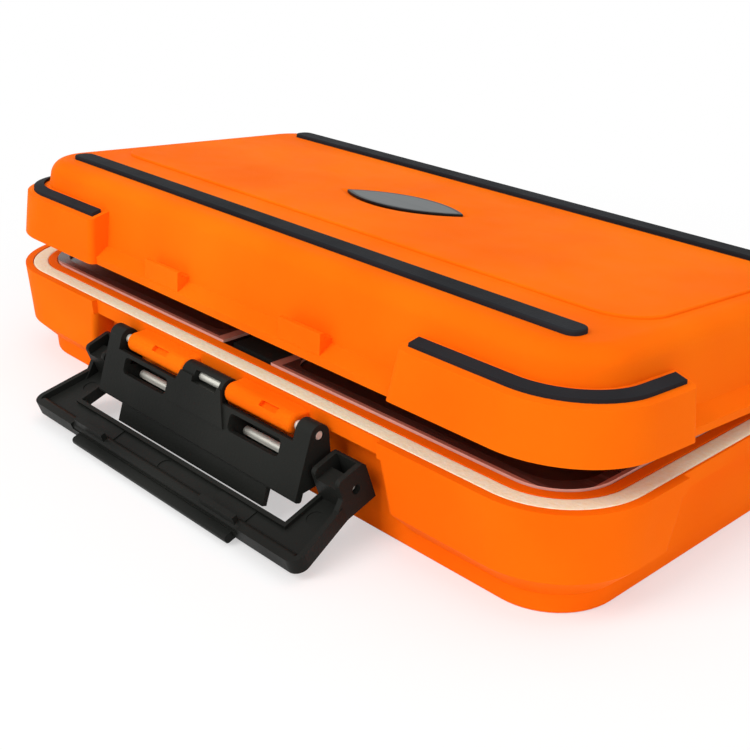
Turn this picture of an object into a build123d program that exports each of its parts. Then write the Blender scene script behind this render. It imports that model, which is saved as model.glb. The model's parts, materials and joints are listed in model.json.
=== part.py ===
from build123d import *
from math import cos, radians, sin
import os

# Lure box in millimetres: +Z up, latch towards -Y, origin at the centre of the resting face.

# Overall outline, seen from above
length = 195.0
width = 108.0
corner_radius = 20.6
wall = 2.0

# Base shell, with insets measured from the overall outline
rim_height = 24.4
rim_depth = 3.4
crease_height = 10.0
crease_inset = 0.9
skirt_height = 4.4
skirt_inset = 6.1
foot_inset = 6.3
foot_round = 0.8
recess_inset = 6.0
rim_inset = 1.4
front_recess = 50.0
side_recess = 22.0
recess_slant = 0.2
lobe_round = 1.5

# Seal in the rim
seal_inset = 3.9
seal_width = 3.8
seal_groove_depth = 2.0
seal_side_clearance = 0.1
seal_top_clearance = 0.05

# Inner covers, their seat and the spine between them
seat_inset = 8.0
seat_depth = 1.8
shelf_width = 1.6
cover_clearance = 0.3
cover_thickness = 2.2
cover_inner_edge = 8.4
cover_border = 3.0
cover_sink = 0.8
cover_panel_round = 5.0
spine_web = 2.0
spine_flange_width = 22.0
spine_flange_thickness = 1.8
spine_cap_clearance = 0.8
spine_cap_step = 0.6
spine_ridge_step = 0.7
spine_ridge_setback = 2.1

# Dividers
divider_height = 18.5
long_divider_thickness = 1.4
cross_divider_thickness = 1.2
divider_clearance = 0.3
cross_divider_inner = 24.0
cross_divider_outer = 46.0

# Lid, measured closed, then turned to the angle at which it stands ajar
lid_gap = 0.25
lid_top = 43.4
lid_open_angle = 4.5
lid_wall_inset = 5.0
lid_top_inset = 8.0
lid_edge_round = 4.2
lid_roof = 2.2
flange_inset = 2.3
flange_depth = 1.65
flange_slope = 2.6
flange_bury = 0.4
lobe_foot_inset = 0.7
lobe_ledge_inset = 1.5
lobe_ledge_height = 35.1
lobe_top_inset = 8.1
lobe_top_height = 37.0
lobe_front_start = 50.6
lobe_side_start = 19.8
lobe_slant = 0.14
tab_inner = 17.6
tab_outer = 30.4
tab_setback = 0.3
tab_depth = 4.4
tab_height = 6.35
tab_lip = 1.1
tab_notch = 1.3

# Rubber strips on the lid
strip_length = 163.0
strip_width = 5.4
strip_inset = 16.9
strip_proud = 1.0
strip_groove = 0.8
strip_clearance = 0.05
strip_corner_round = 2.2
strip_edge_round = 0.4
corner_strip_outer = 3.1
corner_strip_inner = 5.6
corner_strip_proud = 0.75
corner_strip_groove = 0.9
corner_strip_margin = 1.5

# Raised panel and badge on the lid
panel_length = 168.4
panel_width = 50.0
panel_round = 10.0
panel_rise = 0.6
panel_edge_round = 0.45
badge_length = 33.0
badge_width = 13.0
badge_turn = 12.0
badge_x = -2.5
badge_y = 2.5
badge_clearance = 0.2
badge_recess = 0.6
badge_recess_flare = 2.0
badge_thickness = 0.8

# Steel pins and their fits
pin_radius = 1.0
pin_chamfer = 0.2
press_clearance = 0.02
running_clearance = 0.05

# Lid hinges at the rear
knuckle_radius = 2.8
knuckle_gap = 0.3
hinge_rise = 0.1
hinge_centre = 30.0
hinge_lid_knuckle = 9.4
hinge_base_knuckle = 5.0
hinge_side_clearance = 0.3
hinge_web = 2.6
web_root = 0.6

# Latch lever on the rim's lugs
lug_radius = 2.3
lug_inner = 7.5
lug_outer = 29.2
lug_end_round = 1.0
lug_slot_middle = 19.2
lug_slot_shift = 2.5
lug_slot_length = 5.4
lug_slot_width = 1.4
lug_slot_depth = 1.0
lug_slot_tilt = 52.0
lever_axis_reach = 3.0
lever_axis_drop = 3.4
lever_tilt = 18.4
lever_knuckle_radius = 2.4
lever_side_clearance = 0.4
cheek_side_clearance = 2.0
lever_half_width = 35.8
lever_plate_thickness = 1.7
lever_top_edge = 2.7
lever_low_edge = 14.1
lever_edge_round = 0.5
window_inner = 11.4
window_outer = 28.0
window_top = 3.6
window_low = 7.4
window_round = 1.0
cheek_root = 12.0
centre_web_inner = 8.5
centre_web_outer = 11.2
centre_web_low = 11.5
pad_proud = 0.5
pad_low = 7.6
pad_low_half_width = 10.5
guard_thickness = 1.0
guard_end_web = 1.4
toe_half_width = 26.5
toe_start = 12.0
toe_reach = 18.4
toe_setback = 0.5
toe_thickness = 1.2
knuckle_window_length = 8.6
knuckle_window_height = 2.6
knuckle_window_shift = 1.6

# Latch frame on the lever's lower pin, with heights measured from that pin
frame_pin_along = 7.53
frame_pin_behind = 3.35
frame_boss_radius = 2.3
frame_droop = 19.0
frame_bottom = -4.9
frame_thickness = 1.9
ear_inner = 37.4
ear_outer = 45.5
ear_heel = -3.8
ear_toe = 3.6
ear_top = 4.3
ear_step = 2.2
ear_round = 1.2
ear_wall = 1.2
ear_pocket_back = -2.6
ear_pocket_front = -0.5
ear_pocket_floor = -1.6
pin_end_clearance = 1.3
arm_start = 4.0
frame_front_half_width = 48.8
frame_reach = 19.9
frame_opening_reach = 12.7
frame_corner_round = 2.5
frame_opening_round = 2.0
arm_wall = 1.3
arm_wall_height = 1.5
arm_rise_start = 7.2
arm_rise_height = 4.2
opening_lip = 1.0
opening_lip_height = 0.8
hook_inner = 18.1
hook_outer = 29.5
hook_start = 18.0
hook_thickness = 1.2
hook_tip = 0.0
hook_pad_rise = 0.25
ejector_radius = 1.7
ejector_depth = 0.2
ejector_marks = ((-41.0, 8.3), (0.0, 15.6), (41.0, 8.3))
bead_radius = 1.3
bead_setback = 0.25
bead_rise = 0.2
bead_half_width = 46.6
bead_end_round = 0.8
finger_half_width = 28.6
finger_root = 19.5
finger_reach = 22.0
finger_bottom = -5.4
finger_thickness = 2.0
finger_round = 0.8


def body_inset(z):
    """Inset of the base's outer face at height z."""
    if z <= skirt_height:
        return foot_inset + (skirt_inset - foot_inset) * z / skirt_height
    if z <= crease_height:
        rise = (z - skirt_height) / (crease_height - skirt_height)
        return skirt_inset + (crease_inset - skirt_inset) * rise
    return crease_inset * (rim_height - z) / (rim_height - crease_height)


# Values that follow from the sizes above
rim_underside = rim_height - rim_depth
floor_inset = max(recess_inset, body_inset(wall)) + wall
seat_height = rim_height - seat_depth
shelf_inset = seat_inset + shelf_width
cover_inset = seat_inset + cover_clearance
inner_half_length = length / 2 - floor_inset - divider_clearance
inner_half_width = width / 2 - floor_inset - divider_clearance
lid_underside = rim_height + lid_gap
panel_height = lid_top + panel_rise
strip_y = width / 2 - strip_inset
hinge_y = width / 2 - rim_inset + knuckle_gap + knuckle_radius
hinge_z = rim_height + hinge_rise
hinge_knuckle_reach = hinge_lid_knuckle / 2 + hinge_side_clearance + hinge_base_knuckle
lever_y = -(width / 2 - rim_inset + lever_axis_reach)
lever_z = rim_height - lever_axis_drop
lever_plate_bottom = lever_knuckle_radius - lever_plate_thickness
cheek_inner = lug_outer + cheek_side_clearance
centre_knuckle = lug_inner - lever_side_clearance
frame_top = frame_bottom + frame_thickness
hinge_axis = Axis((0, hinge_y, hinge_z), (-1, 0, 0))

# The lever's own directions: down along its plate, and out of its face
lever_down = Vector(0, -sin(radians(lever_tilt)), -cos(radians(lever_tilt)))
lever_out = Vector(0, -cos(radians(lever_tilt)), sin(radians(lever_tilt)))
lever_axis = Vector(0, lever_y, lever_z)

# The frame's own directions: outwards along its plate, and up from its face
frame_along = Vector(0, -cos(radians(frame_droop)), -sin(radians(frame_droop)))
frame_up = Vector(0, -sin(radians(frame_droop)), cos(radians(frame_droop)))
frame_axis = lever_axis + lever_down * frame_pin_along - lever_out * frame_pin_behind


def lid_inset(z):
    """Inset of the lid's outer wall at height z."""
    rise = (z - lid_underside) / (lid_top - lid_underside)
    return lid_wall_inset + (lid_top_inset - lid_wall_inset) * rise


def outline(inset, mode=Mode.ADD):
    """Rounded outline of the box, held in by inset, for the sketch under way."""
    RectangleRounded(length - 2 * inset, width - 2 * inset, corner_radius - inset, mode=mode)


def slab(inset, low, high):
    """Flat plate with the box's outline."""
    with BuildPart() as plate:
        with BuildSketch(Plane.XY.offset(low)):
            outline(inset)
        extrude(amount=high - low)
    return plate.part


def ring(outer_inset, inner_inset, low, high):
    """Band that follows the box's outline."""
    with BuildPart() as band:
        with BuildSketch(Plane.XY.offset(low)):
            outline(outer_inset)
            outline(inner_inset, mode=Mode.SUBTRACT)
        extrude(amount=high - low)
    return band.part


def trapezoid(low_half_width, high_half_width, low, high):
    """Upright face, symmetrical about the middle, for the sketch under way."""
    Polygon(
        (-low_half_width, low),
        (low_half_width, low),
        (high_half_width, high),
        (-high_half_width, high),
        align=None,
    )


def lobe_ends(form, front_start, side_start, held_in):
    """Upright edges where the corner lobes end."""
    reach = recess_slant * rim_underside + 1
    upright = form.edges().filter_by(lambda edge: abs((edge @ 1 - edge @ 0).normalized().Z) > 0.7)
    front = upright.filter_by(
        lambda edge: abs(abs(edge.center().X) - front_start) < reach
        and abs(edge.center().Y) > width / 2 - held_in
    )
    side = upright.filter_by(
        lambda edge: abs(abs(edge.center().Y) - side_start) < reach
        and abs(edge.center().X) > length / 2 - held_in
    )
    return front + side


def tub(held_in, low, high):
    """Tapered form of the base, with a recess in each side between the corner lobes."""
    spread = recess_slant * rim_underside
    with BuildPart() as form:
        for z in (low, skirt_height, crease_height, high):
            with BuildSketch(Plane.XY.offset(z)):
                outline(body_inset(z) + held_in)
        loft(ruled=True)
        for side in (-1, 1):
            front = front_recess + held_in
            with BuildSketch(Plane.XZ.offset(side * (width / 2 - recess_inset - held_in))):
                trapezoid(front + spread, front, 0, rim_underside)
            extrude(amount=side * width, mode=Mode.SUBTRACT)
            end = side_recess + held_in
            with BuildSketch(Plane.YZ.offset(side * (length / 2 - recess_inset - held_in))):
                trapezoid(end + spread, end, 0, rim_underside)
            extrude(amount=side * width, mode=Mode.SUBTRACT)
    return form.part


def lever_lug(start, slot_x):
    """Lug on the rim that carries the lever pin, from start on, with a slot on its face."""
    with BuildPart() as lug:
        with BuildSketch(Plane.YZ.offset(start)):
            with Locations((lever_y, lever_z)):
                Circle(lug_radius)
                Rectangle(lever_axis_reach + web_root, lug_radius, align=(Align.MIN, Align.MIN))
        extrude(amount=lug_outer - lug_inner)
        fillet(lug.edges().filter_by(Plane.YZ), lug_end_round)
        facing = Vector(0, -cos(radians(lug_slot_tilt)), sin(radians(lug_slot_tilt)))
        face_middle = lever_axis + Vector(slot_x, 0, 0) + facing * lug_radius
        face = Plane(face_middle, x_dir=(1, 0, 0), z_dir=facing)
        with BuildSketch(face):
            Rectangle(lug_slot_length, lug_slot_width)
        extrude(amount=-lug_slot_depth, mode=Mode.SUBTRACT)
    return lug.part


def knuckle(start, span, web_reach, web_low):
    """Hinge knuckle along X with the web that joins it to its shell."""
    with BuildPart() as barrel:
        with BuildSketch(Plane.YZ.offset(start)):
            with Locations((hinge_y, hinge_z)):
                Circle(knuckle_radius)
            with Locations((hinge_y, web_low)):
                Rectangle(web_reach, hinge_web, align=(Align.MAX, Align.MIN))
        extrude(amount=span)
    return barrel.part


def pin(centre, span, radius=pin_radius):
    """Round rod along X, for a pin or its bore."""
    with BuildPart() as rod:
        with BuildSketch(Plane(centre - Vector(span / 2, 0, 0), x_dir=(0, 1, 0), z_dir=(1, 0, 0))):
            Circle(radius)
        extrude(amount=span)
    return rod.part


def lid_lobes(lift, margin):
    """Four corner lobes of the lid, with the ledge lifted and the ends drawn in by margin."""
    rise = lobe_slant * (lid_top - lid_underside)
    with BuildPart() as lobes:
        for z, inset in (
            (lid_underside, lobe_foot_inset),
            (lobe_ledge_height + lift, lobe_ledge_inset),
            (lobe_top_height + lift, lobe_top_inset),
        ):
            with BuildSketch(Plane.XY.offset(z)):
                outline(inset)
        loft(ruled=True)
        front = lobe_front_start + margin
        with BuildSketch(Plane.XZ.offset(width)):
            trapezoid(front, front + rise, lid_underside, lid_top)
        extrude(amount=-2 * width, mode=Mode.SUBTRACT)
        end = lobe_side_start + margin
        with BuildSketch(Plane.YZ.offset(-length)):
            trapezoid(end, end + rise, lid_underside, lid_top)
        extrude(amount=2 * length, mode=Mode.SUBTRACT)
    return lobes.part


def corner_strips(proud, clearance):
    """Four L-shaped strips on the lobes' ledge, or their grooves."""
    low = lobe_ledge_height - corner_strip_groove
    with BuildPart() as strips:
        add(ring(corner_strip_outer - clearance, corner_strip_inner + clearance, low, lid_top))
        add(lid_lobes(proud, corner_strip_margin - clearance), mode=Mode.INTERSECT)
        add(lid_lobes(-corner_strip_groove, 0), mode=Mode.SUBTRACT)
    return strips.part


def flange():
    """Flange at the foot of the lid, with a sloped top."""
    brow = lid_underside + flange_depth
    root = brow + flange_slope
    with BuildPart() as border:
        for z, inset in (
            (lid_underside, flange_inset),
            (brow, flange_inset),
            (root, lid_inset(root) + flange_bury),
        ):
            with BuildSketch(Plane.XY.offset(z)):
                outline(inset)
        loft(ruled=True)
    return border.part


def lid_cavity():
    """Hollow of the lid."""
    ceiling = lid_top - lid_roof
    with BuildPart() as cavity:
        for z in (lid_underside, ceiling):
            with BuildSketch(Plane.XY.offset(z)):
                outline(lid_inset(z) + wall)
        loft(ruled=True)
        fillet(cavity.edges().group_by(Axis.Z)[-1], lid_edge_round - wall)
    return cavity.part


def badge_plane(z):
    """Plane of the badge at height z, turned a little from the lid's length."""
    turn = radians(badge_turn)
    return Plane((badge_x, badge_y, z), x_dir=(cos(turn), sin(turn), 0), z_dir=(0, 0, 1))


def lens(grow):
    """Pointed oval of the badge, grown all round."""
    tip = badge_length / 2 + grow
    side = badge_width / 2 + grow
    with BuildSketch() as oval:
        with BuildLine():
            ThreePointArc((-tip, 0), (0, side), (tip, 0))
            ThreePointArc((tip, 0), (0, -side), (-tip, 0))
        make_face()
    return oval.sketch


def lever_section(x):
    """Plane across the lever at x: down along its plate, then out of its face."""
    return Plane(lever_axis + Vector(x, 0, 0), x_dir=lever_down, z_dir=(-1, 0, 0))


def lever_face(height):
    """Plane over the lever's face: across it, then down along its plate."""
    return Plane(lever_axis + lever_out * height, x_dir=(-1, 0, 0), z_dir=lever_out)


def frame_section(x):
    """Plane across the frame at x: outwards along its plate, then up."""
    return Plane(frame_axis + Vector(x, 0, 0), x_dir=frame_along, z_dir=(-1, 0, 0))


def frame_plan(height):
    """Plane over the frame at a height from its pin: across it, then outwards."""
    return Plane(frame_axis + frame_up * height, x_dir=(-1, 0, 0), z_dir=frame_up)


def frame_outline():
    """Outer edge of the frame, wider at its front, for the sketch under way."""
    Polygon(
        (-ear_outer, ear_heel),
        (ear_outer, ear_heel),
        (ear_outer, arm_start),
        (frame_front_half_width, frame_reach),
        (-frame_front_half_width, frame_reach),
        (-ear_outer, arm_start),
        align=None,
    )


def opening_outline(grow, mode=Mode.SUBTRACT):
    """Opening of the frame between its ears, for the sketch under way."""
    depth = frame_opening_reach + grow - ear_heel
    with Locations((0, ear_heel)):
        Rectangle(2 * (ear_inner + grow), depth, align=(Align.CENTER, Align.MIN), mode=mode)


def front_bead():
    """Rounded bead along the frame's front edge."""
    with BuildPart() as bead:
        with BuildSketch(frame_section(bead_half_width)):
            with Locations((frame_reach - bead_setback - bead_radius, frame_top + bead_rise)):
                Circle(bead_radius)
        extrude(amount=2 * bead_half_width)
        fillet(bead.edges().filter_by(GeomType.CIRCLE), bead_end_round)
    return bead.part


# Base shell: tapered tub with corner lobes, overhanging rim, latch lugs and hinge knuckles
with BuildPart() as base_shell:
    add(tub(0, 0, rim_height))
    fillet(lobe_ends(base_shell, front_recess, side_recess, recess_inset), lobe_round)
    fillet(base_shell.faces().sort_by(Axis.Z)[0].edges(), foot_round)

    # Rim, stepped back between the lobes
    for side in (-1, 1):
        with BuildSketch(Plane.XZ.offset(side * (width / 2 - rim_inset))):
            trapezoid(front_recess, front_recess, rim_underside, rim_height)
        extrude(amount=side * width, mode=Mode.SUBTRACT)
        with BuildSketch(Plane.YZ.offset(side * (length / 2 - rim_inset))):
            trapezoid(side_recess, side_recess, rim_underside, rim_height)
        extrude(amount=side * width, mode=Mode.SUBTRACT)

    # Hollow, shelf, cover seat and seal groove
    add(tub(wall, wall, rim_underside), mode=Mode.SUBTRACT)
    add(slab(shelf_inset, crease_height, rim_height), mode=Mode.SUBTRACT)
    add(slab(seat_inset, seat_height, rim_height), mode=Mode.SUBTRACT)
    groove_half = seal_width / 2 + seal_side_clearance
    groove_floor = rim_height - seal_groove_depth
    add(ring(seal_inset - groove_half, seal_inset + groove_half, groove_floor, rim_height), mode=Mode.SUBTRACT)

    # Latch lugs, with the push fit for the lever pin
    add(lever_lug(lug_inner, lug_slot_shift + lug_slot_middle))
    add(lever_lug(-lug_outer, lug_slot_shift - lug_slot_middle))
    add(pin(lever_axis, 2 * length, pin_radius + press_clearance), mode=Mode.SUBTRACT)

    # Two hinge knuckles either side of each of the lid's
    web_reach = knuckle_radius + knuckle_gap + web_root
    for middle in (-hinge_centre, hinge_centre):
        for start in (middle - hinge_knuckle_reach, middle + hinge_knuckle_reach - hinge_base_knuckle):
            add(knuckle(start, hinge_base_knuckle, web_reach, hinge_z - knuckle_radius))
    bore = pin_radius + press_clearance
    add(pin(Vector(0, hinge_y, hinge_z), 2 * length, bore), mode=Mode.SUBTRACT)

# Seal in the rim's groove
with BuildPart() as rim_seal:
    seal_top = rim_height - seal_top_clearance
    half = seal_width / 2
    add(ring(seal_inset - half, seal_inset + half, rim_height - seal_groove_depth, seal_top))

# Clear inner cover over the right half, with a raised border round a sunk panel
with BuildPart() as inner_cover_right:
    with BuildSketch(Plane.XY.offset(seat_height)):
        outline(cover_inset)
        with Locations((cover_inner_edge, 0)):
            Rectangle(length, width, align=(Align.MIN, Align.CENTER), mode=Mode.INTERSECT)
    extrude(amount=cover_thickness)
    with BuildSketch(Plane.XY.offset(seat_height + cover_thickness)) as panel:
        outline(cover_inset + cover_border)
        with Locations((cover_inner_edge + cover_border, 0)):
            Rectangle(length, width, align=(Align.MIN, Align.CENTER), mode=Mode.INTERSECT)
        fillet(panel.vertices().group_by(Axis.X)[0], cover_panel_round)
    extrude(amount=-cover_sink, mode=Mode.SUBTRACT)

with BuildPart() as inner_cover_left:
    mirror(inner_cover_right.part, about=Plane.YZ)

# Spine between the covers: a wall across the box with a flange that carries the covers
with BuildPart() as cover_spine:
    half = width / 2 - shelf_inset - cover_clearance
    with BuildSketch(Plane.XZ.offset(half)):
        with Locations((0, seat_height)):
            Rectangle(spine_web, seat_height - wall, align=(Align.CENTER, Align.MAX))
            Rectangle(spine_flange_width, spine_flange_thickness, align=(Align.CENTER, Align.MAX))
    extrude(amount=-2 * half)
    cap_width = 2 * (cover_inner_edge - spine_cap_clearance)
    cap_length = width - 2 * cover_inset
    with BuildSketch(Plane.XY.offset(seat_height)):
        Rectangle(cap_width, cap_length)
    extrude(amount=spine_cap_step)
    with BuildSketch(Plane.XY.offset(seat_height + spine_cap_step)):
        Rectangle(cap_width, cap_length - 2 * spine_ridge_setback)
    extrude(amount=spine_ridge_step)

# Long divider in the right half, from the spine to the end wall
with BuildPart() as long_divider_right:
    start = spine_web / 2 + divider_clearance
    with BuildSketch(Plane.XY.offset(wall)):
        with Locations((start, 0)):
            Rectangle(inner_half_length - start, long_divider_thickness, align=(Align.MIN, Align.CENTER))
    extrude(amount=divider_height)

with BuildPart() as long_divider_left:
    mirror(long_divider_right.part, about=Plane.YZ)

# Cross dividers, from the long dividers to the front and rear walls
cross_dividers = {}
for end, side_x in (("left", -1), ("right", 1)):
    for row, side_y in (("front", -1), ("rear", 1)):
        for place, x in (("inner", cross_divider_inner), ("outer", cross_divider_outer)):
            with BuildPart() as cross_divider:
                start = long_divider_thickness / 2 + divider_clearance
                middle = (start + inner_half_width) / 2
                with BuildSketch(Plane.XY.offset(wall)):
                    with Locations((side_x * x, side_y * middle)):
                        Rectangle(cross_divider_thickness, inner_half_width - start)
                extrude(amount=divider_height)
            cross_dividers[f"cross_divider_{end}_{row}_{place}"] = cross_divider.part

# Steel pins, held in the base or in the lever
with BuildPart() as lever_pin:
    add(pin(lever_axis, 2 * (lever_half_width - pin_chamfer)))
    chamfer(lever_pin.edges().filter_by(GeomType.CIRCLE), pin_chamfer)

with BuildPart() as hinge_pin_right:
    add(pin(Vector(hinge_centre, hinge_y, hinge_z), 2 * (hinge_knuckle_reach + pin_chamfer)))
    chamfer(hinge_pin_right.edges().filter_by(GeomType.CIRCLE), pin_chamfer)

with BuildPart() as hinge_pin_left:
    mirror(hinge_pin_right.part, about=Plane.YZ)

with BuildPart() as frame_pin:
    add(pin(frame_axis, 2 * (ear_outer - pin_end_clearance)))
    chamfer(frame_pin.edges().filter_by(GeomType.CIRCLE), pin_chamfer)

# Lid shell: tapered cover with a raised panel, flange, corner lobes, catch tabs and hinge knuckles
with BuildPart() as lid_shell:
    for z in (lid_underside, lid_top):
        with BuildSketch(Plane.XY.offset(z)):
            outline(lid_inset(z))
    loft(ruled=True)
    fillet(lid_shell.edges().group_by(Axis.Z)[-1], lid_edge_round)

    # Raised panel
    with BuildSketch(Plane.XY.offset(lid_top)):
        RectangleRounded(panel_length, panel_width, panel_round)
    extrude(amount=panel_rise)
    fillet(lid_shell.faces().sort_by(Axis.Z)[-1].edges(), panel_edge_round)

    # Flange and corner lobes
    add(flange())
    lobes = lid_lobes(0, 0)
    add(lobes.fillet(lobe_round, lobe_ends(lobes, lobe_front_start, lobe_side_start, lid_wall_inset)))

    # Catch tabs for the latch: a lip that stands up in front of a lower web
    tab_face = width / 2 - flange_inset - tab_setback
    for depth, height in ((tab_lip, tab_height), (tab_depth, tab_height - tab_notch)):
        with BuildSketch(Plane.XY.offset(lid_underside)):
            for side in (-1, 1):
                with Locations((side * (tab_inner + tab_outer) / 2, -tab_face)):
                    Rectangle(tab_outer - tab_inner, depth, align=(Align.CENTER, Align.MIN))
        extrude(amount=height)

    # Hinge knuckles, with a running fit on their pins
    web_reach = hinge_y - (width / 2 - lid_wall_inset - wall / 2)
    for middle in (-hinge_centre, hinge_centre):
        add(knuckle(middle - hinge_lid_knuckle / 2, hinge_lid_knuckle, web_reach, lid_underside))
    bore = pin_radius + running_clearance
    add(pin(Vector(0, hinge_y, hinge_z), 2 * length, bore), mode=Mode.SUBTRACT)

    # Hollow, and the recess for the badge, flared towards the panel
    add(lid_cavity(), mode=Mode.SUBTRACT)
    with BuildSketch(badge_plane(panel_height)):
        add(lens(badge_clearance + badge_recess_flare))
    with BuildSketch(badge_plane(panel_height - badge_recess)):
        add(lens(badge_clearance))
    loft(ruled=True, mode=Mode.SUBTRACT)

    # Grooves for the rubber strips
    with BuildSketch(Plane.XY.offset(lid_top)):
        with Locations((0, -strip_y), (0, strip_y)):
            RectangleRounded(
                strip_length + 2 * strip_clearance,
                strip_width + 2 * strip_clearance,
                strip_corner_round + strip_clearance,
            )
    extrude(amount=-strip_groove, mode=Mode.SUBTRACT)
    add(corner_strips(corner_strip_proud, strip_clearance), mode=Mode.SUBTRACT)

# Long rubber strips on top of the lid
with BuildPart() as lid_strip_front:
    with BuildSketch(Plane.XY.offset(lid_top - strip_groove)):
        with Locations((0, -strip_y)):
            RectangleRounded(strip_length, strip_width, strip_corner_round)
    extrude(amount=strip_groove + strip_proud)
    fillet(lid_strip_front.edges().group_by(Axis.Z)[-1], strip_edge_round)

with BuildPart() as lid_strip_rear:
    mirror(lid_strip_front.part, about=Plane.XZ)

# L-shaped rubber strips on the lobes, one to a corner
lid_corner_strips = {}
for place, side_x, side_y in (
    ("front_left", -1, -1),
    ("front_right", 1, -1),
    ("rear_left", -1, 1),
    ("rear_right", 1, 1),
):
    with BuildPart() as corner_strip:
        for strip in corner_strips(corner_strip_proud, 0).solids():
            if strip.center().X * side_x > 0 and strip.center().Y * side_y > 0:
                add(strip)
    lid_corner_strips[f"corner_strip_{place}"] = corner_strip.part

# Badge plate, standing a little proud of the panel
with BuildPart() as badge_plate:
    with BuildSketch(badge_plane(panel_height - badge_recess)):
        add(lens(0))
    extrude(amount=badge_thickness)

# Latch lever: a windowed plate that hangs from the rim's lugs and carries the frame pin behind it
with BuildPart() as latch_lever:
    with BuildSketch(lever_section(lever_half_width)):
        with Locations((lever_top_edge, lever_plate_bottom)):
            Rectangle(
                lever_low_edge - lever_top_edge,
                lever_plate_thickness,
                align=(Align.MIN, Align.MIN),
            )
    extrude(amount=2 * lever_half_width)
    low_edges = latch_lever.edges().filter_by(Axis.X).sort_by(
        lambda edge: (edge.center() - lever_axis).dot(lever_down)
    )[-2:]
    fillet(low_edges, lever_edge_round)

    # Toe below the plate, set back from its face
    with BuildSketch(lever_section(toe_half_width)):
        with Locations((toe_start, lever_knuckle_radius - toe_setback)):
            Rectangle(toe_reach - toe_start, toe_thickness, align=(Align.MIN, Align.MAX))
    extrude(amount=2 * toe_half_width)

    # Pad on the upper half of the face, wider at its foot
    with BuildSketch(lever_face(lever_knuckle_radius)):
        trapezoid(centre_knuckle, pad_low_half_width, 0, pad_low)
    extrude(amount=pad_proud)

    # Guard behind the frame pin, joined to the plate past the windows
    guard_back = -frame_pin_behind - frame_boss_radius
    with BuildSketch(lever_section(lever_half_width)):
        with Locations((frame_pin_along, guard_back)):
            Rectangle(2 * frame_boss_radius, guard_thickness, align=(Align.CENTER, Align.MIN))
    extrude(amount=2 * lever_half_width)
    for low in (-window_outer - guard_end_web, window_outer):
        with BuildSketch(lever_section(low + guard_end_web)):
            with Locations((frame_pin_along, guard_back)):
                Rectangle(
                    2 * frame_boss_radius,
                    lever_plate_bottom - guard_back,
                    align=(Align.CENTER, Align.MIN),
                )
        extrude(amount=guard_end_web)

    # Knuckles between and outside the lugs
    for low, high in (
        (-lever_half_width, -cheek_inner),
        (-centre_knuckle, centre_knuckle),
        (cheek_inner, lever_half_width),
    ):
        with BuildSketch(lever_section(high)):
            Circle(lever_knuckle_radius)
            Rectangle(lever_top_edge + web_root, lever_knuckle_radius, align=(Align.MIN, Align.MIN))
        extrude(amount=high - low)

    # Cheeks and inner webs that carry the frame pin
    for low, high in ((-lever_half_width, -cheek_inner), (cheek_inner, lever_half_width)):
        with BuildSketch(lever_section(high)):
            Circle(lever_knuckle_radius)
            with Locations((frame_pin_along, -frame_pin_behind)):
                Circle(frame_boss_radius)
            with Locations((0, lever_plate_bottom)):
                Rectangle(cheek_root, lever_plate_thickness, align=(Align.MIN, Align.MIN))
            make_hull()
        extrude(amount=high - low)
    for low, high in ((-centre_web_outer, -centre_web_inner), (centre_web_inner, centre_web_outer)):
        with BuildSketch(lever_section(high)):
            with Locations((frame_pin_along, -frame_pin_behind)):
                Circle(frame_boss_radius)
            with Locations((window_top, lever_plate_bottom)):
                Rectangle(
                    centre_web_low - window_top,
                    lever_plate_thickness / 2,
                    align=(Align.MIN, Align.MIN),
                )
            make_hull()
        extrude(amount=high - low)

    # Windows in the plate, and the one that shows the pin in the middle knuckle
    with BuildSketch(lever_face(lever_knuckle_radius)):
        middle = (window_inner + window_outer) / 2
        with Locations((-middle, (window_top + window_low) / 2), (middle, (window_top + window_low) / 2)):
            RectangleRounded(window_outer - window_inner, window_low - window_top, window_round)
    extrude(amount=-lever_knuckle_radius, mode=Mode.SUBTRACT)
    with BuildSketch(lever_face(lever_knuckle_radius + pad_proud)):
        with Locations((-knuckle_window_shift, 0)):
            Rectangle(knuckle_window_length, knuckle_window_height)
    extrude(amount=-lever_knuckle_radius - pad_proud, mode=Mode.SUBTRACT)

    # Bores: free on the lever pin, tight on the frame pin
    add(pin(lever_axis, 2 * length, pin_radius + running_clearance), mode=Mode.SUBTRACT)
    add(pin(frame_axis, 2 * length, pin_radius + press_clearance), mode=Mode.SUBTRACT)

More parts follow.
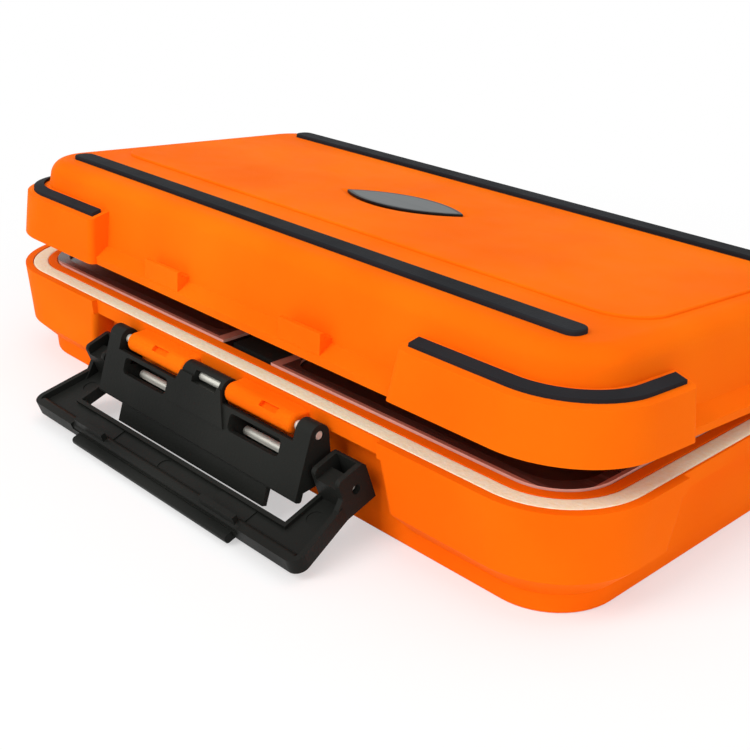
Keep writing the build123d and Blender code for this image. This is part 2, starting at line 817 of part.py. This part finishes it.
# Latch frame: a wide hoop on the frame pin, with hooks for the lid's catch tabs and a finger tab
with BuildPart() as latch_frame:
    with BuildSketch(frame_plan(frame_bottom)) as plate:
        frame_outline()
        fillet(plate.vertices().group_by(Axis.Y)[-1], frame_corner_round)
        opening_outline(0)
        fillet(
            plate.vertices().filter_by(lambda v: abs(v.Y - frame_opening_reach) < opening_lip),
            frame_opening_round,
        )
    extrude(amount=frame_thickness)

    # Wall along the outer edge of the arms and round the front corners
    with BuildSketch(frame_plan(frame_top)) as arm_walls:
        frame_outline()
        fillet(arm_walls.vertices().group_by(Axis.Y)[-1], frame_corner_round)
        offset(amount=-arm_wall, mode=Mode.SUBTRACT)
        opening_outline(0)
        Rectangle(2 * (hook_outer + arm_wall), 2 * (frame_reach + arm_wall), mode=Mode.SUBTRACT)
    extrude(amount=arm_wall_height)
    for low, high in ((-ear_outer, -ear_outer + arm_wall), (ear_outer - arm_wall, ear_outer)):
        with BuildSketch(frame_section(high)):
            Polygon(
                (ear_toe - ear_round, frame_top),
                (arm_rise_start, frame_top),
                (ear_toe - ear_round, frame_top + arm_rise_height),
                align=None,
            )
        extrude(amount=high - low)

    # Low lip round the opening
    with BuildSketch(frame_plan(frame_top)):
        opening_outline(opening_lip, mode=Mode.ADD)
        opening_outline(0)
    extrude(amount=opening_lip_height)

    # Bead, hooks with a low pad behind each, and finger tab
    add(front_bead())
    pad_start = frame_opening_reach + opening_lip / 2
    for start, depth, rise in (
        (pad_start, hook_start - pad_start, hook_pad_rise),
        (hook_start, hook_thickness, hook_tip - frame_top),
    ):
        with BuildSketch(frame_plan(frame_top)):
            for side in (-1, 1):
                with Locations((side * (hook_inner + hook_outer) / 2, start)):
                    Rectangle(hook_outer - hook_inner, depth, align=(Align.CENTER, Align.MIN))
        extrude(amount=rise)
    with BuildSketch(frame_section(finger_half_width)) as finger:
        with Locations((finger_root, finger_bottom)):
            Rectangle(finger_reach - finger_root, finger_thickness, align=(Align.MIN, Align.MIN))
        fillet(finger.vertices().group_by(Axis.X)[-1], finger_round)
    extrude(amount=2 * finger_half_width)

    # Round ejector marks in the plate
    with BuildSketch(frame_plan(frame_top)):
        with Locations(*ejector_marks):
            Circle(ejector_radius)
    extrude(amount=-ejector_depth, mode=Mode.SUBTRACT)

    # Ears on the frame pin, open on top
    for low, high in ((-ear_outer, -ear_inner), (ear_inner, ear_outer)):
        with BuildSketch(frame_section(high)):
            with Locations(((ear_heel + ear_toe) / 2, (frame_bottom + ear_top) / 2)):
                RectangleRounded(ear_toe - ear_heel, ear_top - frame_bottom, ear_round)
        extrude(amount=high - low)
        with BuildSketch(frame_section(high - ear_wall)):
            with Locations((ear_pocket_back, ear_pocket_floor)):
                Rectangle(
                    ear_pocket_front - ear_pocket_back,
                    ear_top - ear_pocket_floor,
                    align=(Align.MIN, Align.MIN),
                )
            with Locations((ear_pocket_front, ear_step)):
                Rectangle(ear_toe - ear_pocket_front, ear_top - ear_step, align=(Align.MIN, Align.MIN))
        extrude(amount=high - low - 2 * ear_wall, mode=Mode.SUBTRACT)
    add(pin(frame_axis, 2 * length, pin_radius + running_clearance), mode=Mode.SUBTRACT)

# Lid pieces are turned about the rear hinges to the angle at which the lid stands ajar
lid_pieces = {
    "lid_shell": lid_shell.part,
    "lid_strip_front": lid_strip_front.part,
    "lid_strip_rear": lid_strip_rear.part,
    "badge_plate": badge_plate.part,
    **lid_corner_strips,
}
pieces = {
    "base_shell": base_shell.part,
    "rim_seal": rim_seal.part,
    "inner_cover_left": inner_cover_left.part,
    "inner_cover_right": inner_cover_right.part,
    "cover_spine": cover_spine.part,
    "long_divider_left": long_divider_left.part,
    "long_divider_right": long_divider_right.part,
    "lever_pin": lever_pin.part,
    "hinge_pin_left": hinge_pin_left.part,
    "hinge_pin_right": hinge_pin_right.part,
    "latch_lever": latch_lever.part,
    "frame_pin": frame_pin.part,
    "latch_frame": latch_frame.part,
    **cross_dividers,
}
for name, piece in lid_pieces.items():
    pieces[name] = piece.rotate(hinge_axis, lid_open_angle)

os.makedirs("parts", exist_ok=True)
for name, piece in pieces.items():
    piece.label = name
    export_step(piece, f"parts/{name}.step")
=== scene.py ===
import bpy
import json
from math import cos, radians, sin
from mathutils import Matrix, Vector

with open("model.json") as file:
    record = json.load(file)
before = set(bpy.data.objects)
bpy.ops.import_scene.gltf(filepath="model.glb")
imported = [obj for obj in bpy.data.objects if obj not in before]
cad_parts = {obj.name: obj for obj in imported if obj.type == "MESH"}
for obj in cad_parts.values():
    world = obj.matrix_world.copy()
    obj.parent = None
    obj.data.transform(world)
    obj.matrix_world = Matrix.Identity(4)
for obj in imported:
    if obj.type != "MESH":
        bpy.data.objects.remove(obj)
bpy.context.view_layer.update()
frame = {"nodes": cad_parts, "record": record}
nodes = frame["nodes"]

MM = 0.001

# Inner covers: height of the sunk panel, least rise of the border above it, width of the rosy rim,
# width of the rosy edge beside the spine
COVER_PANEL = 24.0 * MM
COVER_STEP = 0.15 * MM
COVER_RIM = 0.9 * MM
COVER_SPINE_EDGE = 2.6 * MM

# Badge: turn, half length and half width of its pointed oval, width of its rim
BADGE_TURN = radians(12.0)
BADGE_LONG = 16.5 * MM
BADGE_WIDE = 6.5 * MM
BADGE_EDGE = 0.9 * MM

# Rounded edges: least angle between faces, and how near points are one point
EDGE_ANGLE = radians(32.0)
SAME_POINT = 0.001 * MM

# Floor: size, grey level, and the distances over which it turns white
FLOOR_SIZE = 8.0
FLOOR_GREY = 0.95
WHITE_FROM = 0.10
WHITE_BY = 0.22

# Strength of the sky on the object; 1 is white
SKY_LEVEL = 0.5

# Colours, linear, as they are meant to render
ORANGE = (0.98, 0.172, 0.0045)
ORANGE_DEEP = (0.94, 0.135, 0.003)
ORANGE_SHEEN = (1.0, 0.45, 0.10)
WHITE = (1.0, 1.0, 1.0)
BLACK = (0.0095, 0.010, 0.009)
BLACK_WORN = (0.017, 0.0175, 0.0155)
RUBBER = (0.015, 0.016, 0.018)
RUBBER_DUST = (0.024, 0.025, 0.028)
SEAL = (1.0, 0.97, 0.74)
SEAL_WARM = (1.0, 0.88, 0.58)
SMOKE = (0.50, 0.26, 0.20)
# Cover panel: smoky tint plus painted shade, much darker than the clear smoke for the shade under
# the lid
SHADED_SMOKE_PANEL = (0.070, 0.024, 0.018)
SMOKE_STREAK = (0.20, 0.075, 0.058)
SMOKE_BORDER = (0.62, 0.22, 0.15)
# Painted highlight: rosy light on the sloping faces of the covers' raised steps
STEP_PAINTED_HIGHLIGHT = (0.95, 0.55, 0.45)
STEEL = (1.0, 0.98, 0.88)
BADGE = (0.13, 0.145, 0.15)
BADGE_RIM = (0.020, 0.024, 0.028)


# Materials

def new_material(name):
    """A material with its Principled shader and a way to add nodes to it."""
    material = bpy.data.materials.new(name)
    material.use_nodes = True
    tree = material.node_tree
    shader = tree.nodes["Principled BSDF"]
    return material, tree, shader


def node(tree, kind, **values):
    """Adds a node, with its properties or its inputs set by name."""
    made = tree.nodes.new(kind)
    for key, value in values.items():
        if hasattr(made, key):
            setattr(made, key, value)
        else:
            made.inputs[key.replace("_", " ")].default_value = value
    return made


def noise(tree, scale, detail=3.0, roughness=0.5, stretch=None):
    """Noise over the object's own coordinates, scale in cells per metre."""
    place = node(tree, "ShaderNodeTexCoord")
    field = node(tree, "ShaderNodeTexNoise", Scale=scale, Detail=detail, Roughness=roughness)
    source = place.outputs["Object"]
    if stretch:
        mapping = node(tree, "ShaderNodeMapping", Scale=stretch)
        tree.links.new(source, mapping.inputs["Vector"])
        source = mapping.outputs["Vector"]
    tree.links.new(source, field.inputs["Vector"])
    return field.outputs["Fac"]


def ramp(tree, source, low, high, start=0.0, end=1.0):
    """Maps a 0 to 1 value to a range of numbers."""
    spread = node(tree, "ShaderNodeMapRange")
    for name, value in (("From Min", start), ("From Max", end), ("To Min", low), ("To Max", high)):
        spread.inputs[name].default_value = value
    tree.links.new(source, spread.inputs["Value"])
    return spread.outputs["Result"]


def blend_colours(tree, source, first, second):
    """Mixes two colours by a 0 to 1 value."""
    mix = node(tree, "ShaderNodeMix", data_type="RGBA")
    mix.inputs["A"].default_value = (*first, 1.0)
    mix.inputs["B"].default_value = (*second, 1.0)
    tree.links.new(source, mix.inputs["Factor"])
    return mix.outputs["Result"]


def bump(tree, shader, source, depth):
    """Relief of a given depth in metres."""
    relief = node(tree, "ShaderNodeBump", Strength=1.0, Distance=depth)
    tree.links.new(source, relief.inputs["Height"])
    tree.links.new(relief.outputs["Normal"], shader.inputs["Normal"])


def moulded_plastic(name, colour, second, rough, grain, depth, shine, sheen, subsurface=0.0):
    """Moulded plastic or rubber: slow colour variation, fine grain, uneven gloss.

    The grain is in cells per metre, its depth in metres.
    """
    material, tree, shader = new_material(name)
    patches = ramp(tree, noise(tree, 22.0, 2.0), 0.0, 1.0, 0.35, 0.65)
    tint = blend_colours(tree, patches, colour, second)
    tree.links.new(tint, shader.inputs["Base Color"])
    gloss = ramp(tree, noise(tree, 140.0, 4.0), rough - 0.05, rough + 0.06, 0.3, 0.7)
    tree.links.new(gloss, shader.inputs["Roughness"])
    bump(tree, shader, noise(tree, grain, 2.0), depth)
    shader.inputs["IOR"].default_value = 1.47
    shader.inputs["Specular IOR Level"].default_value = shine
    shader.inputs["Specular Tint"].default_value = (*sheen, 1.0)
    if subsurface:
        shader.inputs["Subsurface Weight"].default_value = subsurface
        shader.inputs["Subsurface Radius"].default_value = (1.0, 0.35, 0.1)
        shader.inputs["Subsurface Scale"].default_value = 1.2 * MM
    return material


def smoky_plastic():
    """Clear smoky plastic of the dividers."""
    material, tree, shader = new_material("smoky_plastic")
    tint = blend_colours(tree, noise(tree, 60.0, 2.0), SMOKE, darker(SMOKE, 0.85))
    tree.links.new(tint, shader.inputs["Base Color"])
    tree.links.new(ramp(tree, noise(tree, 220.0), 0.10, 0.2), shader.inputs["Roughness"])
    bump(tree, shader, noise(tree, 160.0, 1.0), 0.03 * MM)
    shader.inputs["Transmission Weight"].default_value = 0.85
    shader.inputs["IOR"].default_value = 1.49
    return material


def above(tree, source, limit):
    """1 where a value is above a limit, else 0."""
    test = node(tree, "ShaderNodeMath", operation="GREATER_THAN")
    tree.links.new(source, test.inputs[0])
    test.inputs[1].default_value = limit
    return test.outputs[0]


def darker(colour, share):
    """A share of a colour."""
    return tuple(share * c for c in colour)


def mix_colours(tree, share, first, second):
    """Mixes two colour sockets by a 0 to 1 value."""
    mix = node(tree, "ShaderNodeMix", data_type="RGBA")
    tree.links.new(first, mix.inputs["A"])
    tree.links.new(second, mix.inputs["B"])
    tree.links.new(share, mix.inputs["Factor"])
    return mix.outputs["Result"]


def largest(tree, values):
    """Largest of several values."""
    top = values[0]
    for value in values[1:]:
        pick = node(tree, "ShaderNodeMath", operation="MAXIMUM")
        tree.links.new(top, pick.inputs[0])
        tree.links.new(value, pick.inputs[1])
        top = pick.outputs[0]
    return top


def size_of(tree, source):
    """A value without its sign."""
    plain = node(tree, "ShaderNodeMath", operation="ABSOLUTE")
    tree.links.new(source, plain.inputs[0])
    return plain.outputs[0]


def cover_plastic(panel_height, inner, outer, half):
    """Smoky cover: streaked, its panel painted dark as painted shade under the lid, rosy along its
    rim and beside the spine, with a rosy painted highlight on the faces of its steps.

    The lengths are the panel's height and the cover's inner end, outer end and half width.
    """
    material, tree, shader = new_material("cover_plastic")
    streaks = ramp(tree, noise(tree, 420.0, 2.0, 0.5, (0.05, 1.0, 1.0)), 0.0, 1.0, 0.55, 0.85)
    # Painted shade: the panel is darkened for the shade that falls under the lid, with streaks
    # over it
    panel = blend_colours(tree, streaks, SHADED_SMOKE_PANEL, SMOKE_STREAK)
    border = blend_colours(tree, noise(tree, 240.0, 3.0), SMOKE_BORDER, darker(SMOKE_BORDER, 0.6))
    # Painted highlight: rosy colour for the faces of the raised steps, as if they catch the light
    edge = blend_colours(tree, noise(tree, 400.0, 3.0), STEP_PAINTED_HIGHLIGHT, darker(STEP_PAINTED_HIGHLIGHT, 0.8))
    place = node(tree, "ShaderNodeTexCoord")
    height = node(tree, "ShaderNodeSeparateXYZ")
    tree.links.new(place.outputs["Object"], height.inputs[0])
    facing = node(tree, "ShaderNodeSeparateXYZ")
    tree.links.new(place.outputs["Normal"], facing.inputs[0])
    flat = above(tree, facing.outputs["Z"], 0.6)
    along = size_of(tree, height.outputs["X"])
    across = size_of(tree, height.outputs["Y"])
    near_spine = node(tree, "ShaderNodeMath", operation="LESS_THAN")
    tree.links.new(along, near_spine.inputs[0])
    near_spine.inputs[1].default_value = inner + COVER_SPINE_EDGE
    rim = largest(tree, [
        near_spine.outputs[0],
        above(tree, along, outer - COVER_RIM),
        above(tree, across, half - COVER_RIM),
    ])
    raised = above(tree, height.outputs["Z"], panel_height + COVER_STEP)
    level = mix_colours(tree, rim, panel, border)
    # Raised parts: flat tops take the rim or panel colour, their other faces the painted highlight
    tint = mix_colours(tree, raised, panel, mix_colours(tree, flat, edge, level))
    tree.links.new(tint, shader.inputs["Base Color"])
    tree.links.new(ramp(tree, noise(tree, 220.0), 0.12, 0.22), shader.inputs["Roughness"])
    bump(tree, shader, noise(tree, 160.0, 1.0), 0.03 * MM)
    shader.inputs["IOR"].default_value = 1.49
    shader.inputs["Specular IOR Level"].default_value = 0.3
    tree.links.new(ramp(tree, raised, 0.5, 0.1), shader.inputs["Transmission Weight"])
    return material


def seal_foam():
    """Soft cream seal with a fine open grain."""
    material, tree, shader = new_material("seal_rubber")
    specks = ramp(tree, noise(tree, 900.0, 4.0), 0.0, 1.0, 0.35, 0.7)
    tint = blend_colours(tree, specks, SEAL, SEAL_WARM)
    tree.links.new(tint, shader.inputs["Base Color"])
    bump(tree, shader, noise(tree, 1500.0, 4.0), 0.12 * MM)
    shader.inputs["Roughness"].default_value = 0.6
    shader.inputs["Subsurface Weight"].default_value = 0.1
    shader.inputs["Subsurface Radius"].default_value = (1.0, 0.6, 0.3)
    shader.inputs["Subsurface Scale"].default_value = 1.0 * MM
    return material


def metal(name, colour, rough, stretch, metallic=1.0):
    """Drawn or brushed metal with fine lines along one way."""
    material, tree, shader = new_material(name)
    lines = noise(tree, 900.0, 4.0, 0.6, stretch)
    tint = blend_colours(tree, lines, darker(colour, 0.55), colour)
    tree.links.new(tint, shader.inputs["Base Color"])
    tree.links.new(ramp(tree, lines, rough - 0.08, rough + 0.12), shader.inputs["Roughness"])
    bump(tree, shader, lines, 0.02 * MM)
    shader.inputs["Metallic"].default_value = metallic
    return material


def badge_metal(centre):
    """Brushed grey plate with a dark rim that follows its pointed oval."""
    material = metal("badge_metal", BADGE, 0.4, (0.03, 1.0, 1.0))
    tree = material.node_tree
    shader = tree.nodes["Principled BSDF"]
    inside = shader.inputs["Base Color"].links[0].from_socket
    radius = (BADGE_LONG ** 2 + BADGE_WIDE ** 2) / (2.0 * BADGE_WIDE)
    place = node(tree, "ShaderNodeTexCoord")
    mapping = node(tree, "ShaderNodeMapping", vector_type="TEXTURE")
    mapping.inputs["Location"].default_value = centre
    mapping.inputs["Rotation"].default_value = (0.0, 0.0, BADGE_TURN)
    tree.links.new(place.outputs["Object"], mapping.inputs["Vector"])
    reach = []
    for side in (-1.0, 1.0):
        flat = node(tree, "ShaderNodeVectorMath", operation="MULTIPLY_ADD")
        tree.links.new(mapping.outputs["Vector"], flat.inputs[0])
        flat.inputs[1].default_value = (1.0, 1.0, 0.0)
        flat.inputs[2].default_value = (0.0, side * (radius - BADGE_WIDE), 0.0)
        away = node(tree, "ShaderNodeVectorMath", operation="LENGTH")
        tree.links.new(flat.outputs["Vector"], away.inputs[0])
        reach.append(away.outputs["Value"])
    rim = above(tree, largest(tree, reach), radius - BADGE_EDGE)
    dark = blend_colours(tree, noise(tree, 600.0), BADGE_RIM, BLACK)
    tree.links.new(mix_colours(tree, rim, inside, dark), shader.inputs["Base Color"])
    return material


# Where the badge and the covers lie
badge_corners = [Vector(corner) for corner in nodes["badge_plate"].bound_box]
badge_centre = sum(badge_corners, Vector()) / len(badge_corners)
cover_corners = [Vector(corner) for corner in nodes["inner_cover_right"].bound_box]
cover_reach = (
    min(corner.x for corner in cover_corners),
    max(corner.x for corner in cover_corners),
    max(corner.y for corner in cover_corners),
)

materials = {
    "orange_plastic": moulded_plastic(
        "orange_plastic", ORANGE, ORANGE_DEEP, rough=0.5, grain=1600.0, depth=0.012 * MM,
        shine=0.008, sheen=ORANGE_SHEEN, subsurface=0.1),
    "black_plastic": moulded_plastic(
        "black_plastic", BLACK, BLACK_WORN, rough=0.42, grain=1400.0, depth=0.04 * MM,
        shine=0.06, sheen=WHITE),
    "strip_rubber": moulded_plastic(
        "strip_rubber", RUBBER, RUBBER_DUST, rough=0.55, grain=2200.0, depth=0.05 * MM,
        shine=0.012, sheen=WHITE),
    "smoky_plastic": cover_plastic(COVER_PANEL, *cover_reach),
    "divider_plastic": smoky_plastic(),
    "seal_rubber": seal_foam(),
    "pin_steel": metal("pin_steel", STEEL, 0.5, (0.02, 1.0, 1.0), 0.55),
    "badge_metal": badge_metal(badge_centre),
}
slots = {part["node"]: part["material_slot"] for part in frame["record"]["subparts"]}

# Edges that a mould or a die leaves slightly round, in metres
edge_rounds = {
    "base_shell": 0.35 * MM,
    "lid_shell": 0.35 * MM,
    "latch_lever": 0.25 * MM,
    "latch_frame": 0.25 * MM,
    "rim_seal": 0.35 * MM,
    "inner_cover_left": 0.25 * MM,
    "inner_cover_right": 0.25 * MM,
    "cover_spine": 0.2 * MM,
    "badge_plate": 0.15 * MM,
}
for name, cad in nodes.items():
    cad.data.materials.clear()
    cad.data.materials.append(materials[slots[name]])
    if name in edge_rounds:
        weld = cad.modifiers.new("weld", "WELD")
        weld.merge_threshold = SAME_POINT
        bevel = cad.modifiers.new("edge", "BEVEL")
        bevel.width = edge_rounds[name]
        bevel.segments = 2
        bevel.limit_method = "ANGLE"
        bevel.angle_limit = EDGE_ANGLE
        bevel.use_clamp_overlap = True
        even = cad.modifiers.new("even", "WEIGHTED_NORMAL")
        even.mode = "FACE_AREA"
        even.keep_sharp = True


# Stage: floor, light and camera

def seen_directly(tree):
    """1 for what the camera sees straight, or by way of gloss and glass, else 0."""
    path = node(tree, "ShaderNodeLightPath")
    total = path.outputs["Is Camera Ray"]
    for name in ("Is Glossy Ray", "Is Transmission Ray"):
        add = node(tree, "ShaderNodeMath", operation="ADD", use_clamp=True)
        tree.links.new(total, add.inputs[0])
        tree.links.new(path.outputs[name], add.inputs[1])
        total = add.outputs[0]
    return total


def stage_material():
    """Pale floor that takes the object's shadow and turns into plain white further off."""
    material = bpy.data.materials.new("stage_white")
    material.use_nodes = True
    tree = material.node_tree
    shader = tree.nodes["Principled BSDF"]
    shader.inputs["Base Color"].default_value = (FLOOR_GREY, FLOOR_GREY, FLOOR_GREY, 1.0)
    shader.inputs["Roughness"].default_value = 0.9
    shader.inputs["Specular IOR Level"].default_value = 0.0
    place = node(tree, "ShaderNodeTexCoord")
    away = node(tree, "ShaderNodeVectorMath", operation="LENGTH")
    tree.links.new(place.outputs["Object"], away.inputs[0])
    fade = ramp(tree, away.outputs["Value"], 0.5, 1.0, WHITE_FROM, WHITE_BY)
    share = node(tree, "ShaderNodeMath", operation="MULTIPLY")
    tree.links.new(fade, share.inputs[0])
    tree.links.new(seen_directly(tree), share.inputs[1])
    glow = node(tree, "ShaderNodeEmission", Color=(1.0, 1.0, 1.0, 1.0), Strength=1.0)
    mix = node(tree, "ShaderNodeMixShader")
    tree.links.new(share.outputs[0], mix.inputs["Fac"])
    tree.links.new(shader.outputs["BSDF"], mix.inputs[1])
    tree.links.new(glow.outputs["Emission"], mix.inputs[2])
    tree.links.new(mix.outputs["Shader"], tree.nodes["Material Output"].inputs["Surface"])
    return material


bpy.ops.mesh.primitive_plane_add(size=FLOOR_SIZE, location=(0.0, 0.0, 0.0))
floor = bpy.context.object
floor.name = "floor"
floor.data.materials.append(stage_material())

world = bpy.data.worlds.new("studio")
bpy.context.scene.world = world
world.use_nodes = True
sky = world.node_tree.nodes["Background"]
sky.inputs["Color"].default_value = (1.0, 1.0, 1.0, 1.0)
level = ramp(world.node_tree, seen_directly(world.node_tree), SKY_LEVEL, 1.0)
world.node_tree.links.new(level, sky.inputs["Strength"])


def softbox(name, place, aim, size, power):
    """Area light that looks at a point."""
    light = bpy.data.lights.new(name, "AREA")
    light.shape = "RECTANGLE"
    light.size, light.size_y = size
    light.energy = power
    lamp = bpy.data.objects.new(name, light)
    bpy.context.scene.collection.objects.link(lamp)
    lamp.location = place
    lamp.rotation_euler = (Vector(aim) - Vector(place)).to_track_quat("-Z", "Y").to_euler()


softbox("key_light", (-0.3, -1.7, 1.45), (0.0, 0.0, 0.02), (1.2, 1.2), 28.0)
softbox("top_light", (0.2, 0.2, 2.0), (0.0, 0.0, 0.02), (1.5, 1.5), 8.0)
softbox("side_light", (1.9, -0.5, 0.9), (0.0, 0.0, 0.02), (1.2, 1.2), 10.0)

# Camera: place and turn found from the photograph, at the photograph's square frame
CAMERA_PLACE = Vector((0.19707, -0.19365, 0.12970))
CAMERA_YAW = radians(46.559)
CAMERA_PITCH = radians(24.265)
CAMERA_ROLL = radians(0.499)
CAMERA_LENS = 58.58
back = Vector((
    sin(CAMERA_YAW) * cos(CAMERA_PITCH),
    -cos(CAMERA_YAW) * cos(CAMERA_PITCH),
    sin(CAMERA_PITCH),
))
level_right = Vector((0.0, 0.0, 1.0)).cross(back).normalized()
level_up = back.cross(level_right)
right = cos(CAMERA_ROLL) * level_right + sin(CAMERA_ROLL) * level_up
up = cos(CAMERA_ROLL) * level_up - sin(CAMERA_ROLL) * level_right
lens = bpy.data.cameras.new("camera")
lens.sensor_width = 36.0
lens.lens = CAMERA_LENS
lens.clip_start = 0.01
camera = bpy.data.objects.new("camera", lens)
bpy.context.scene.collection.objects.link(camera)
turn = Matrix((right, up, back)).transposed().to_4x4()
camera.matrix_world = Matrix.Translation(CAMERA_PLACE) @ turn
bpy.context.scene.camera = camera
bpy.context.scene.view_settings.view_transform = "Standard"
